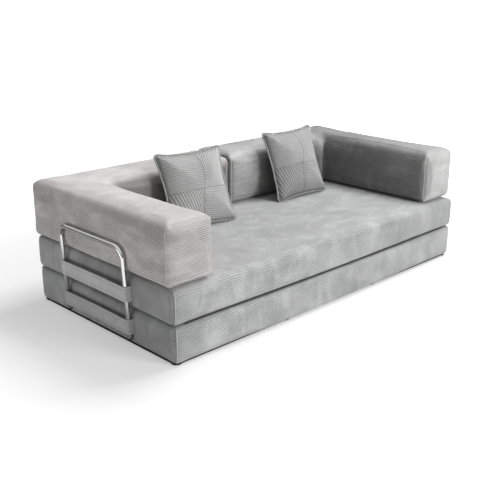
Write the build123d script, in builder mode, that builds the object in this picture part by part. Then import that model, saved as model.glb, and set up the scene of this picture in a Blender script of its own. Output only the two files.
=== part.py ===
"""Foam sofa bed: two stacked mattresses hinged at the front, corner bolsters and tube frames.

All sizes are in millimetres. +X is to the right of someone facing the sofa, +Y is to the back
and +Z is up. The origin is the middle of the footprint, on the floor.
"""
from build123d import *
from math import cos, radians, sin
import os

# Mattresses
mattress_width = 2000.0
mattress_depth = 1015.0
lower_side_inset = 4.0
lower_thickness = 167.0
upper_thickness = 154.0
front_bow = 12.0
corner_round = 20.0
floor_edge_round = 9.0
seat_edge_round = 16.0
seam_edge_round = 13.0
seat_crown = 4.0
mattress_gap = 0.5
cover_wall = 3.0
foam_clearance = 0.3
topper_thickness = 40.0

# Base under the lower mattress
foot_height = 5.0
foot_diameter = 44.0
foot_columns = 4
foot_rows = 2
base_panel_thickness = 4.0
base_panel_inset = 8.0
foot_inset = 24.0

# Corner bolsters: each is one arm and half of the back
arm_width = 251.0
back_depth = 284.0
bolster_height = 278.0
side_overhang = 20.0
back_overhang = 12.0
arm_setback = 6.0
bolster_stagger = 20.0
centre_gap = 8.0
bolster_top_round = 48.0
bolster_bottom_round = 40.0
bolster_end_round = 32.0
bolster_crown = 4.5
bolster_clearance = 0.3

# Tube frames, held by the cloth loops a little above the floor; those at the sides lean out,
# in degrees, from the lower mattress to the overhanging arms
tube_diameter = 22.0
tube_wall = 1.5
leg_spacing = 460.0
leg_rise = 40.0
bar_height = 451.0
side_frame_lean = 3.2
bend_radius = 50.0
frame_clearance = 0.5
back_frame_share = 0.2525
cap_thickness = 6.0
cap_stem = 18.0
cap_fit = 0.1

# Cloth loops that hold the frames' legs
band_height = 68.0
band_thickness = 3.0
band_clearance = 0.6
lower_band_rise = 57.0
upper_band_rise = 39.5

# Zips
zip_tape_width = 20.0
zip_tape_thickness = 0.8
zip_chain_width = 6.0
zip_chain_height = 2.4
zip_end_margin = 90.0
zip_bend_facets = 96
lower_zip_drop = 26.0
upper_zip_drop = 30.0
slider_length = 16.0
slider_width = 11.0
slider_height = 4.2
slider_corner = 2.5
slider_clearance = 0.35
lug_height = 2.0
lug_width = 3.0

# Cloth hinge between the mattresses
hinge_depth_inside = 3.2
hinge_thickness = 2.0
hinge_height = 5.2
hinge_end_margin = 60.0
hinge_axis_clearance = 0.5

# Loose square pillows
pillow_side = 376.0
pillow_draw_in = 14.0
pillow_half_thickness = 64.0
pillow_wall = 2.0
pillow_clearance = 0.4
piping_diameter = 7.0
piping_clearance = 0.8
pillow_corner = 10.0
pillow_left_from_arm = 432.0
pillow_right_from_arm = 351.0
pillow_left_yaw = -6.0
pillow_right_yaw = 0.0
pillow_left_lean = 23.0
pillow_right_lean = 21.0
pillow_level_shares = (0.0, 0.30, 0.58, 0.82, 1.0)
pillow_outline_shares = (1.0, 0.93, 0.78, 0.54, 0.20)

# Levels and planes worked out from the sizes above
base_top = foot_height + base_panel_thickness
lower_top = base_top + lower_thickness
upper_bottom = lower_top + mattress_gap
seat_top = upper_bottom + upper_thickness
bolster_bottom = seat_top + bolster_clearance
bolster_top = bolster_bottom + bolster_height
tube_radius = tube_diameter / 2
back_reach = (back_overhang + frame_clearance + tube_diameter + band_clearance
              + band_thickness)
overall_depth = front_bow + mattress_depth + back_reach
front_plane = -overall_depth / 2
front_corner_y = front_plane + front_bow
back_y = front_corner_y + mattress_depth
middle_y = (front_corner_y + back_y) / 2
bolster_back_y = back_y + back_overhang
back_leg_y = bolster_back_y + frame_clearance + tube_radius
seat_back_y = bolster_back_y - back_depth
seat_side_x = mattress_width / 2 + side_overhang - arm_width
back_frame_x = mattress_width * back_frame_share
crown_root = topper_thickness / 2
reach = mattress_width + overall_depth

# A side frame's legs lie against the lower round of the arm, which sets how far out its bar is
lean_sine = sin(radians(side_frame_lean))
lean_cosine = cos(radians(side_frame_lean))
round_centre_x = mattress_width / 2 + side_overhang - bolster_bottom_round
round_centre_z = bolster_bottom + bolster_bottom_round
round_to_leg = bolster_bottom_round + frame_clearance + tube_radius
side_bar_x = (round_centre_x
              + (round_to_leg + (bar_height - round_centre_z) * lean_sine) / lean_cosine)
leg_slope = lean_sine / lean_cosine

os.makedirs("parts", exist_ok=True)


def finish(builder, label):
    """Label a finished piece and write its file."""
    builder.part.label = label
    export_step(builder.part, f"parts/{label}.step")


def seat_crown_form(inset):
    """Shallow rise of the seat between the arms and the back, rooted in the mattress."""
    level = seat_top - inset
    root = level - crown_root
    half_width = seat_side_x - inset
    front = front_corner_y + corner_round
    back = seat_back_y - inset
    middle = (front + back) / 2
    with BuildPart() as form:
        with BuildSketch(Plane.XZ):
            with BuildLine():
                ThreePointArc((-half_width, level), (0, level + seat_crown), (half_width, level))
                Polyline((half_width, level), (half_width, root), (-half_width, root),
                         (-half_width, level))
            make_face()
        extrude(amount=reach, both=True)
        with BuildSketch(Plane.YZ):
            with BuildLine():
                ThreePointArc((front, level), (middle, level + seat_crown), (back, level))
                Polyline((back, level), (back, root), (front, root), (front, level))
            make_face()
        extrude(amount=reach, both=True, mode=Mode.INTERSECT)
    return form.part


def mattress_form(side_inset, low, high, low_round, high_round, inset):
    """Bow-fronted block with rounded edges, drawn in by inset on every side."""
    half_width = mattress_width / 2 - side_inset - inset
    front = front_corner_y + inset
    back = back_y - inset
    with BuildPart() as form:
        with BuildSketch(Plane.XY.offset(low + inset)) as plan:
            with BuildLine():
                ThreePointArc((-half_width, front), (0, front - front_bow), (half_width, front))
                Polyline((half_width, front), (half_width, back), (-half_width, back),
                         (-half_width, front))
            make_face()
            fillet(plan.vertices(), corner_round - inset)
        extrude(amount=high - low - 2 * inset)
        fillet(form.faces().sort_by(Axis.Z)[-1].edges(), high_round - inset)
        fillet(form.faces().sort_by(Axis.Z)[0].edges(), low_round - inset)
    return form.part


def lower_form(inset):
    """Outer form of the lower mattress, drawn in by inset."""
    return mattress_form(lower_side_inset, base_top, lower_top, floor_edge_round,
                         seam_edge_round, inset)


def upper_form(inset):
    """Outer form of the upper mattress, drawn in by inset."""
    return mattress_form(0, upper_bottom, seat_top, seam_edge_round, seat_edge_round, inset)


def section_outline(low, high, bottom, top, crown, round_low, round_high):
    """Closed side view of a bolster limb with a crowned top, for use inside a sketch."""
    with BuildSketch(mode=Mode.PRIVATE) as outline:
        with BuildLine():
            if crown:
                ThreePointArc((low, top - crown), ((low + high) / 2, top), (high, top - crown))
            else:
                Line((low, top), (high, top))
            Polyline((high, top - crown), (high, bottom), (low, bottom), (low, top - crown))
        make_face()
        fillet(outline.vertices().group_by(Axis.Y)[0], round_low)
        fillet(outline.vertices().group_by(Axis.Y)[-1], round_high)
    return outline.sketch


def limb_form(x_low, x_high, y_low, y_high, crown_x, crown_y, inset):
    """One limb of a bolster: the space common to its front, side and plan views."""
    low = bolster_bottom + inset
    high = bolster_top - inset
    low_round = bolster_bottom_round - inset
    high_round = bolster_top_round - inset
    with BuildPart() as limb:
        with BuildSketch(Plane.XZ):
            add(section_outline(x_low + inset, x_high - inset, low, high, crown_x,
                                low_round, high_round))
        extrude(amount=reach, both=True)
        with BuildSketch(Plane.YZ):
            add(section_outline(y_low + inset, y_high - inset, low, high, crown_y,
                                low_round, high_round))
        extrude(amount=reach, both=True, mode=Mode.INTERSECT)
        with BuildSketch(Plane.XY) as plan:
            with Locations(((x_low + x_high) / 2, (y_low + y_high) / 2)):
                Rectangle(x_high - x_low - 2 * inset, y_high - y_low - 2 * inset)
            fillet(plan.vertices(), bolster_end_round - inset)
        extrude(amount=reach, both=True, mode=Mode.INTERSECT)
    return limb.part


def bolster_form(side, forward, inset):
    """Corner bolster, an arm and half of the back in one; side is -1 for left, 1 for right.

    The half of the back runs out to the side and makes the corner; the arm ends inside it.
    """
    outer = mattress_width / 2 + side_overhang
    arm_x = sorted((side * outer, side * seat_side_x))
    back_x = sorted((side * outer, side * centre_gap / 2))
    back = bolster_back_y - forward
    front = front_corner_y + arm_setback + bolster_stagger - forward
    arm = limb_form(*arm_x, front, back - back_depth / 2, bolster_crown, 0, inset)
    half_back = limb_form(*back_x, back - back_depth, back, 0, bolster_crown, inset)
    with BuildPart() as form:
        add(arm)
        add(half_back)
    return form.part


# Base panel and feet
with BuildPart() as base_panel:
    with BuildSketch(Plane.XY.offset(foot_height)) as panel_plan:
        with Locations((0, middle_y)):
            Rectangle(mattress_width - 2 * (lower_side_inset + base_panel_inset),
                      mattress_depth - 2 * base_panel_inset)
        fillet(panel_plan.vertices(), corner_round)
    extrude(amount=base_panel_thickness)
finish(base_panel, "base_panel")

with BuildPart() as base_feet:
    foot_span_x = mattress_width - 2 * (lower_side_inset + base_panel_inset + foot_inset)
    foot_span_y = mattress_depth - 2 * (base_panel_inset + foot_inset)
    with Locations((0, middle_y)):
        with GridLocations(foot_span_x / (foot_columns - 1), foot_span_y / (foot_rows - 1),
                           foot_columns, foot_rows):
            Cylinder(foot_diameter / 2, foot_height, align=(Align.CENTER, Align.CENTER, Align.MIN))
finish(base_feet, "base_feet")

# Lower mattress
with BuildPart() as lower_cover:
    add(lower_form(0))
    add(lower_form(cover_wall), mode=Mode.SUBTRACT)
finish(lower_cover, "lower_cover")

with BuildPart() as lower_foam:
    add(lower_form(cover_wall + foam_clearance))
finish(lower_foam, "lower_foam")

# Upper mattress: the cover has the seat's crown, the foam is a firm core under a soft topper
with BuildPart() as upper_cover:
    add(upper_form(0))
    add(seat_crown_form(0))
    add(upper_form(cover_wall), mode=Mode.SUBTRACT)
    add(seat_crown_form(cover_wall), mode=Mode.SUBTRACT)
finish(upper_cover, "upper_cover")

topper_plane = Plane.XY.offset(seat_top - cover_wall - foam_clearance - topper_thickness)
with BuildPart() as upper_foam:
    add(upper_form(cover_wall + foam_clearance))
    split(bisect_by=topper_plane, keep=Keep.BOTTOM)
finish(upper_foam, "upper_foam")

with BuildPart() as upper_topper:
    add(upper_form(cover_wall + foam_clearance))
    split(bisect_by=topper_plane, keep=Keep.TOP)
    add(seat_crown_form(cover_wall + foam_clearance))
finish(upper_topper, "upper_topper")

# Cloth hinge, in the groove between the front edges of the two mattresses
with BuildPart() as fold_hinge:
    hinge_half = mattress_width / 2 - lower_side_inset - hinge_end_margin
    hinge_bow = front_bow * (hinge_half / (mattress_width / 2 - lower_side_inset)) ** 2
    hinge_front = front_plane + hinge_bow + hinge_depth_inside
    hinge_low = (lower_top + upper_bottom - hinge_height) / 2
    with BuildSketch(Plane.XY.offset(hinge_low)):
        with BuildLine():
            ThreePointArc((-hinge_half, hinge_front), (0, hinge_front - hinge_bow),
                          (hinge_half, hinge_front))
            Line((hinge_half, hinge_front), (hinge_half, hinge_front + hinge_thickness))
            ThreePointArc((hinge_half, hinge_front + hinge_thickness),
                          (0, hinge_front - hinge_bow + hinge_thickness),
                          (-hinge_half, hinge_front + hinge_thickness))
            Line((-hinge_half, hinge_front + hinge_thickness), (-hinge_half, hinge_front))
        make_face()
    extrude(amount=hinge_height)
finish(fold_hinge, "fold_hinge")


def band(side_plane, centre_along, low, wall_inside):
    """Cloth loop sewn to a mattress: a flat strip round the outside of a frame's two legs.

    side_plane has its X axis along the mattress side and its Y axis pointing outwards, at the
    height of the mattress side; wall_inside is how far the strip stands out from it.
    """
    half_inside = leg_spacing / 2 + tube_radius + band_clearance
    with BuildPart() as strip:
        with BuildSketch(side_plane.offset(low)):
            with Locations((centre_along, 0)):
                Rectangle(2 * (half_inside + band_thickness), wall_inside + band_thickness,
                          align=(Align.CENTER, Align.MIN))
                Rectangle(2 * half_inside, wall_inside, align=(Align.CENTER, Align.MIN),
                          mode=Mode.SUBTRACT)
        extrude(amount=band_height)
    return strip.part


def side_plane(side, mattress_side_x):
    """Plane at a mattress side, X to the back and Y outwards, Z up or down with the hand."""
    return Plane(origin=(side * mattress_side_x, middle_y, 0), x_dir=(0, -side, 0), z_dir=(0, 0, 1))


back_plane = Plane(origin=(0, back_y, 0), x_dir=(1, 0, 0), z_dir=(0, 0, 1))
lower_band_low = base_top + lower_band_rise
upper_band_low = upper_bottom + upper_band_rise
tube_outside_y = back_leg_y + tube_radius + band_clearance
lower_side_x = mattress_width / 2 - lower_side_inset
upper_side_x = mattress_width / 2


def loop_reach(low):
    """How far out a side loop's inner face stands, to clear the leaning leg at the loop's top."""
    leg_axis_x = side_bar_x - (bar_height - low - band_height) * leg_slope
    return leg_axis_x + tube_radius / lean_cosine + band_clearance


for side, side_name in ((-1, "left"), (1, "right")):
    with BuildPart() as lower_loop:
        add(band(side_plane(side, lower_side_x), 0, lower_band_low,
                 loop_reach(lower_band_low) - lower_side_x))
    finish(lower_loop, f"lower_loop_{side_name}")
    with BuildPart() as upper_loop:
        add(band(side_plane(side, upper_side_x), 0, upper_band_low,
                 loop_reach(upper_band_low) - upper_side_x))
    finish(upper_loop, f"upper_loop_{side_name}")
    with BuildPart() as lower_back_loop:
        add(band(back_plane, side * back_frame_x, lower_band_low, tube_outside_y - back_y))
    finish(lower_back_loop, f"lower_loop_back_{side_name}")
    with BuildPart() as upper_back_loop:
        add(band(back_plane, side * back_frame_x, upper_band_low, tube_outside_y - back_y))
    finish(upper_back_loop, f"upper_loop_back_{side_name}")


def frame_plane(origin, along, up):
    """Plane of a frame, from the middle of its bar: X along the bar, Y up the legs."""
    return Plane(origin=origin, x_dir=along, z_dir=Vector(*along).cross(Vector(*up)))


frames = {}
for side, side_name in ((-1, "left"), (1, "right")):
    leaning = (side * lean_sine, 0, lean_cosine)
    frames[side_name] = (frame_plane((side * side_bar_x, middle_y, bar_height), (0, 1, 0), leaning),
                         (bar_height - leg_rise) / lean_cosine)
    frames[f"back_{side_name}"] = (frame_plane((side * back_frame_x, back_leg_y, bar_height),
                                               (1, 0, 0), (0, 0, 1)), bar_height - leg_rise)
half_legs = leg_spacing / 2
for frame_name, (plane, leg_length) in frames.items():
    tube_end = cap_thickness - leg_length
    with BuildPart() as frame_tube:
        with BuildLine(plane) as run:
            FilletPolyline((-half_legs, tube_end), (-half_legs, 0), (half_legs, 0),
                           (half_legs, tube_end), radius=bend_radius)
        with BuildSketch(Plane(origin=run.line @ 0, z_dir=run.line % 0)):
            Circle(tube_radius)
            Circle(tube_radius - tube_wall, mode=Mode.SUBTRACT)
        sweep()
    finish(frame_tube, f"frame_{frame_name}")
    with BuildPart() as frame_caps:
        leg_ends = [Plane(origin=plane.from_local_coords((end, -leg_length, 0)), z_dir=plane.y_dir)
                    for end in (-half_legs, half_legs)]
        with Locations(*leg_ends):
            Cylinder(tube_radius, cap_thickness,
                     align=(Align.CENTER, Align.CENTER, Align.MIN))
            Cylinder(tube_radius - tube_wall - cap_fit, cap_thickness + cap_stem,
                     align=(Align.CENTER, Align.CENTER, Align.MIN))
    finish(frame_caps, f"frame_caps_{frame_name}")


# Mattress zips, on the flat back faces
zip_half_length = mattress_width / 2 - zip_end_margin
slider_start = zip_half_length - slider_length


def flat_zip(level):
    """Zip on a mattress's back face: two tapes as one strip, with the raised chain."""
    with BuildPart() as strip:
        with BuildSketch(Plane.XZ.offset(-back_y)):
            with Locations((0, level)):
                Rectangle(2 * zip_half_length, zip_tape_width)
        extrude(amount=-zip_tape_thickness)
        with BuildSketch(Plane.XZ.offset(-back_y)):
            with Locations((0, level)):
                Rectangle(2 * zip_half_length, zip_chain_width)
        extrude(amount=-zip_chain_height)
    return strip.part


def slider_form():
    """Zip slider on the local XY plane: X along the chain, Z away from the tape."""
    floor = zip_tape_thickness + slider_clearance
    channel_top = zip_chain_height + slider_clearance
    with BuildPart() as body:
        with BuildSketch(Plane.XY.offset(floor)) as foot_print:
            Rectangle(slider_length, slider_width)
            fillet(foot_print.vertices(), slider_corner)
        extrude(amount=slider_height)
        with BuildSketch(Plane.YZ):
            with Locations((0, channel_top / 2)):
                Rectangle(zip_chain_width + 2 * slider_clearance, channel_top)
        extrude(amount=slider_length, both=True, mode=Mode.SUBTRACT)
        with BuildSketch(Plane.XZ) as lug:
            with Locations((0, floor + slider_height)):
                Rectangle(slider_length / 2, 2 * lug_height)
        extrude(amount=lug_width / 2, both=True)
    return body.part


slider = slider_form()
for mattress_name, level in (("lower", lower_top - lower_zip_drop),
                             ("upper", seat_top - upper_zip_drop)):
    with BuildPart() as mattress_zip:
        add(flat_zip(level))
    finish(mattress_zip, f"{mattress_name}_zip")
    with BuildPart() as mattress_slider:
        place = Plane(origin=(-slider_start, back_y, level), x_dir=(1, 0, 0), z_dir=(0, 1, 0))
        add(place.location * slider)
    finish(mattress_slider, f"{mattress_name}_zip_slider")


# Corner bolsters, with a zip along the rounded lower back edge
for side, side_name, forward in ((-1, "left", bolster_stagger), (1, "right", 0)):
    with BuildPart() as bolster_cover:
        add(bolster_form(side, forward, 0))
        add(bolster_form(side, forward, cover_wall), mode=Mode.SUBTRACT)
    finish(bolster_cover, f"bolster_cover_{side_name}")

    with BuildPart() as bolster_foam:
        add(bolster_form(side, forward, cover_wall + foam_clearance))
    finish(bolster_foam, f"bolster_foam_{side_name}")

    zip_x = sorted((side * (mattress_width / 2 - zip_end_margin), side * zip_end_margin))
    round_centre = (bolster_back_y - forward - bolster_bottom_round,
                    bolster_bottom + bolster_bottom_round)
    zip_centre = Vector(zip_x[0], *round_centre)
    outward = Vector(0, 1, -1).normalized()
    surface = bolster_bottom_round + foam_clearance
    zip_plane = Plane(origin=zip_centre, x_dir=outward, z_dir=(1, 0, 0))
    with BuildPart() as bolster_zip:
        for width, height in ((zip_tape_width, zip_tape_thickness),
                              (zip_chain_width, zip_chain_height)):
            with BuildSketch(zip_plane):
                RegularPolygon(surface + height, zip_bend_facets, major_radius=False)
                RegularPolygon(surface, zip_bend_facets, major_radius=False, mode=Mode.SUBTRACT)
                with Locations((surface, 0)):
                    Rectangle(surface, width, mode=Mode.INTERSECT)
            extrude(amount=zip_x[1] - zip_x[0])
    finish(bolster_zip, f"bolster_zip_{side_name}")

    with BuildPart() as bolster_slider:
        seat = zip_centre + outward * surface + Vector(slider_length, 0, 0)
        place = Plane(origin=seat, x_dir=(1, 0, 0), z_dir=outward)
        add(place.location * slider)
    finish(bolster_slider, f"bolster_zip_slider_{side_name}")


# Pillows: made lying flat, then leaned, turned and set on the seat against the back
def pillow_outline(half_side, draw_in, corner):
    """Square face with drawn-in sides and rounded corners."""
    corners = [(half_side, half_side), (-half_side, half_side), (-half_side, -half_side),
               (half_side, -half_side)]
    middle = half_side - draw_in
    middles = [(0, middle), (-middle, 0), (0, -middle), (middle, 0)]
    with BuildSketch() as outline:
        with BuildLine():
            for index, point in enumerate(middles):
                ThreePointArc(corners[index], point, corners[(index + 1) % len(corners)])
        make_face()
        fillet(outline.vertices(), corner)
    return outline.sketch


def pillow_form(inset):
    """Crowned pillow, drawn in by inset, made of two lofted halves."""
    half_side = pillow_side / 2 - inset
    half_thickness = pillow_half_thickness - inset
    with BuildPart() as form:
        for direction in (-1, 1):
            for level_share, share in zip(pillow_level_shares, pillow_outline_shares):
                with BuildSketch(Plane.XY.offset(direction * half_thickness * level_share)):
                    add(pillow_outline(half_side * share, pillow_draw_in * share,
                                       pillow_corner * share))
            loft()
    return form.part


def piping_form():
    """Round piping along the pillow's seam."""
    stand_off = piping_diameter / 2 + piping_clearance
    seam = pillow_outline(pillow_side / 2 + stand_off, pillow_draw_in,
                          pillow_corner + stand_off)
    path = seam.face().outer_wire()
    with BuildPart() as ring:
        with BuildSketch(Plane(origin=path @ 0, z_dir=path % 0)):
            Circle(piping_diameter / 2)
        sweep(path=path)
    return ring.part


def seat_rise(x, y):
    """Height of the seat's crown above its edges, close to what its shallow arcs give."""
    crown_front = front_corner_y + corner_round
    crown_middle = (crown_front + seat_back_y) / 2
    along_share = 1 - (x / seat_side_x) ** 2
    across_share = 1 - ((y - crown_middle) / (seat_back_y - crown_middle)) ** 2
    return seat_crown * min(along_share, across_share)


pillow_outer = pillow_form(0)
pillow_inner = pillow_form(pillow_wall)
pillow_fill = pillow_form(pillow_wall + pillow_clearance)
piping = piping_form()
for side_name, x, yaw, lean, forward in (
        ("left", pillow_left_from_arm - seat_side_x, pillow_left_yaw, pillow_left_lean,
         bolster_stagger),
        ("right", seat_side_x - pillow_right_from_arm, pillow_right_yaw, pillow_right_lean, 0)):
    turned = Location((0, 0, 0), (0, 0, yaw)) * Location((0, 0, 0), (90 - lean, 0, 0))
    box = (turned * piping).bounding_box().add((turned * pillow_outer).bounding_box())
    rest_depth = seat_back_y - forward - pillow_clearance - box.max.Y
    rise = 0
    for end in (-pillow_side / 2, pillow_side / 2):
        corner = (turned * Location((end, -pillow_side / 2, 0))).position
        rise = max(rise, seat_rise(x + corner.X, rest_depth + corner.Y))
    rest_height = seat_top + rise + pillow_clearance - box.min.Z
    placed = Location((x, rest_depth, rest_height)) * turned
    with BuildPart() as pillow_cover:
        add(placed * pillow_outer)
        add(placed * pillow_inner, mode=Mode.SUBTRACT)
    finish(pillow_cover, f"pillow_cover_{side_name}")
    with BuildPart() as pillow_filling:
        add(placed * pillow_fill)
    finish(pillow_filling, f"pillow_filling_{side_name}")
    with BuildPart() as pillow_piping:
        add(placed * piping)
    finish(pillow_piping, f"pillow_piping_{side_name}")

# The fold turns about a line along the fronts; the bolsters stay upright about a line that
# sets them down on the floor past the foot of the bed
fold_axis_y = front_plane - hinge_axis_clearance
fold_axis_z = (lower_top + upper_bottom) / 2
set_down_axis_y = bolster_back_y + frame_clearance
set_down_axis_z = (bolster_bottom + 2 * fold_axis_z - frame_clearance) / 2
print("fold axis", fold_axis_y, fold_axis_z)
print("set-down axis", set_down_axis_y, set_down_axis_z)
print("overall depth", overall_depth, "side bar", side_bar_x, "leg slope", leg_slope)
print("side loops' inner faces", loop_reach(lower_band_low), loop_reach(upper_band_low))
print("seat top", seat_top, "bolster top", bolster_top)
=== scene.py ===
"""Looks of a folding foam sofa bed in ribbed velvet, built around its CAD frame.

Metres, +X to the right of someone facing the sofa, +Y to the back, +Z up.
"""
import math

import bmesh
import bpy
import numpy as np
from mathutils import Matrix, Vector, noise
from mathutils.bvhtree import BVHTree


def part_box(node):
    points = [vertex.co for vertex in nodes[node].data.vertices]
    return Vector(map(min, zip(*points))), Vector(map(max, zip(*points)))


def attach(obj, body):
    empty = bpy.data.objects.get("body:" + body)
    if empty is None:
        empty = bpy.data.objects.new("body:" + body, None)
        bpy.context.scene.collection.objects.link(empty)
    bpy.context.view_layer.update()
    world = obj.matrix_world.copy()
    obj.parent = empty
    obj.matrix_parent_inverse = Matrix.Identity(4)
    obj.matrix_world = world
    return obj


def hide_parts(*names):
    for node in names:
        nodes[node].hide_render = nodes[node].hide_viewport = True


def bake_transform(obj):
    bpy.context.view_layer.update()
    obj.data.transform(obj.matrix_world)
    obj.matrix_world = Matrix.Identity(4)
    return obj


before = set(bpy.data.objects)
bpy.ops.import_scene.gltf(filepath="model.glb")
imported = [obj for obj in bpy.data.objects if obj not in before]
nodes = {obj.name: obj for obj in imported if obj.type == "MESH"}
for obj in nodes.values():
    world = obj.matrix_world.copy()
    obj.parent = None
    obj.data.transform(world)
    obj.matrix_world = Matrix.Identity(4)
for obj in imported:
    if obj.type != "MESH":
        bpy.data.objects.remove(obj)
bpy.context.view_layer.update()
scene = bpy.context.scene
SIDES = ("left", "right")
HAND = {"left": -1, "right": 1}
RIGHTWARD, BACKWARD, UPWARD = Vector((1, 0, 0)), Vector((0, 1, 0)), Vector((0, 0, 1))

# Sizes shared with the CAD model
WALE_PITCH = 0.0095
LEG_HALF = 0.230
TUBE_RADIUS = 0.011
TUBE_ROOM = 0.0006
ARM_WIDTH = 0.251
BACK_DEPTH = 0.284
BOLSTER_ROUND = 0.032
FRONT_BOW = 0.012
SIDE_LEAN = math.radians(3.2)
PILLOW_TURN = {"left": (-6.0, 23.0), "right": (0.0, 21.0)}
PILLOW_DRAW_IN = 0.014
PIPING_RADIUS = 0.0035
SEAM_INSET = 0.012
STRAP_THICKNESS = 0.003

# The part of the seat that stays clear of the bolsters, and where they cover it: out and back
SEAT_HALF, SEAT_BACK = 0.77, 0.2224
COVERED_OUT, COVERED_BACK = 0.765, 0.198

# Sizes of details that only the scene has
FRONT_ROOM = 0.008
PILLOW_EAR = 0.006
PIPING_STEPS = 56
PATCH_HALF = 0.188
PATCH_SEAM_OFFSET = 0.012
PATCH_SEAM_SWAY = 0.022
PATCH_SEAM_WAVES = 16.0
PATCH_SEAM_STEPS = 90
STRAP_SLACK = 0.004
STRAP_HEM = 0.014
STITCH_RADIUS = 0.0007
STITCH_RISE = 0.0002
STITCH_SUNK = -0.0006
ZIP_TOOTH_PITCH = 0.003
ZIP_TOOTH_LENGTH = 0.0050
ZIP_TOOTH_WIDTH = 0.0016
ZIP_TOOTH_HEIGHT = 0.00028
WELT_SQUASH = 0.8

# Looks of each pillow: its tone, and how strongly the ribs show on each patch:
# upper left, upper right, lower left, lower right
# The left pillow's tone is lighter as painted light, and the right one's darker as painted shade
PILLOW_TONE = {"left": 1.14, "right": 0.88}
PILLOW_RIBS = {"left": (0.85, 1.0, 1.0, 0.75), "right": (0.45, 0.12, 1.0, 0.35)}
# The upper straps are lighter than the lower ones: painted light and shade
STRAP_TONE = {"upper_mattress": 0.96, "base": 0.82}
# How much darker the colour is in the grooves between the ribs: painted shade in the grooves, besides
# the bump that shapes them
RIB_GROOVE_SHADE = 0.46
NAP_SCALE = 1400.0


# Camera of the photograph
CAMERA_PLACE = (-2.8354, -2.79795, 1.5077)
CAMERA_YAW = 44.015
CAMERA_PITCH = 18.295
CAMERA_LENS = 60.374

camera_data = bpy.data.cameras.new("camera")
camera_data.sensor_width = 36.0
camera_data.lens = CAMERA_LENS
camera = bpy.data.objects.new("camera", camera_data)
camera.location = CAMERA_PLACE
camera.rotation_euler = (math.radians(90 - CAMERA_PITCH), 0, math.radians(-CAMERA_YAW))
scene.collection.objects.link(camera)
scene.camera = camera
scene.view_settings.view_transform = "Standard"


# Materials
class Graph:
    """A material's node graph with short calls for the nodes used here."""

    def __init__(self, name):
        self.material = bpy.data.materials.new(name)
        self.material.use_nodes = True
        self.tree = self.material.node_tree
        self.tree.nodes.clear()
        output = self.add("ShaderNodeOutputMaterial")
        self.shader = self.add("ShaderNodeBsdfPrincipled")
        self.link(self.shader.outputs["BSDF"], output.inputs["Surface"])

    @classmethod
    def of_tree(cls, tree):
        """The same calls on a tree that has no shader of its own, emptied first."""
        graph = cls.__new__(cls)
        graph.tree = tree
        tree.nodes.clear()
        return graph

    def add(self, kind, **values):
        node = self.tree.nodes.new(kind)
        for key, value in values.items():
            setattr(node, key, value)
        return node

    def link(self, source, target):
        self.tree.links.new(source, target)

    def feed(self, socket, value):
        """Link a socket to another one, or set it to a number."""
        if isinstance(value, bpy.types.NodeSocket):
            self.link(value, socket)
        else:
            socket.default_value = value

    def set(self, **values):
        """Set the shader's own sockets; a key's underscores stand for spaces."""
        for key, value in values.items():
            self.feed(self.shader.inputs[key.replace("_", " ")], value)

    def math(self, operation, *values):
        node = self.add("ShaderNodeMath", operation=operation)
        for socket, value in zip(node.inputs, values):
            self.feed(socket, value)
        return node.outputs[0]

    def mix(self, factor, low, high):
        """Mix two colours."""
        node = self.add("ShaderNodeMix", data_type="RGBA")
        self.feed(node.inputs[0], factor)
        self.feed(node.inputs[6], low)
        self.feed(node.inputs[7], high)
        return node.outputs[2]

    def blend(self, factor, low, high):
        """Mix two numbers."""
        node = self.add("ShaderNodeMix", data_type="FLOAT")
        self.feed(node.inputs[0], factor)
        self.feed(node.inputs[2], low)
        self.feed(node.inputs[3], high)
        return node.outputs[0]

    def spread(self, value, low, high, to_low=0.0, to_high=1.0):
        """Map a value smoothly from one range to another."""
        node = self.add("ShaderNodeMapRange", interpolation_type="SMOOTHSTEP")
        for socket, number in zip(node.inputs, (value, low, high, to_low, to_high)):
            self.feed(socket, number)
        return node.outputs[0]

    def parts(self, vector):
        """The three parts of a vector."""
        node = self.add("ShaderNodeSeparateXYZ")
        self.link(vector, node.inputs[0])
        return node.outputs

    def place(self, stretch=(1, 1, 1)):
        """Object coordinates in metres, stretched."""
        source = self.add("ShaderNodeTexCoord").outputs["Object"]
        node = self.add("ShaderNodeMapping")
        self.link(source, node.inputs["Vector"])
        node.inputs["Scale"].default_value = stretch
        return node.outputs[0]

    def noise(self, vector, scale, detail=3.0, roughness=0.55, distortion=0.0):
        node = self.add("ShaderNodeTexNoise")
        self.link(vector, node.inputs["Vector"])
        for key, value in (("Scale", scale), ("Detail", detail), ("Roughness", roughness),
                           ("Distortion", distortion)):
            node.inputs[key].default_value = value
        return node.outputs["Fac"]

    def attribute(self, name, output="Fac"):
        return self.add("ShaderNodeAttribute", attribute_name=name).outputs[output]

    def bump(self, height, distance, strength, normal=None):
        node = self.add("ShaderNodeBump")
        self.feed(node.inputs["Height"], height)
        node.inputs["Distance"].default_value = distance
        node.inputs["Strength"].default_value = strength
        if normal is not None:
            self.link(normal, node.inputs["Normal"])
        return node.outputs[0]


def grey(level, warm=0.0):
    """A grey of that level; warm adds red and takes off a little blue."""
    return (level * (1 + warm), level, level * (1 - 0.4 * warm), 1.0)


def wale_groove(graph, coordinate, place):
    """1 in the narrow grooves between the velvet's ribs, 0 on their crowns."""
    wobble = graph.math("MULTIPLY", graph.noise(place, 7.0, 2.0), 2.4)
    angle = graph.math("MULTIPLY", coordinate, 2 * math.pi / WALE_PITCH)
    wave = graph.math("COSINE", graph.math("ADD", angle, wobble))
    raised = graph.math("MULTIPLY_ADD", wave, 0.5, 0.5)
    return graph.math("POWER", raised, 2.2)


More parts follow.
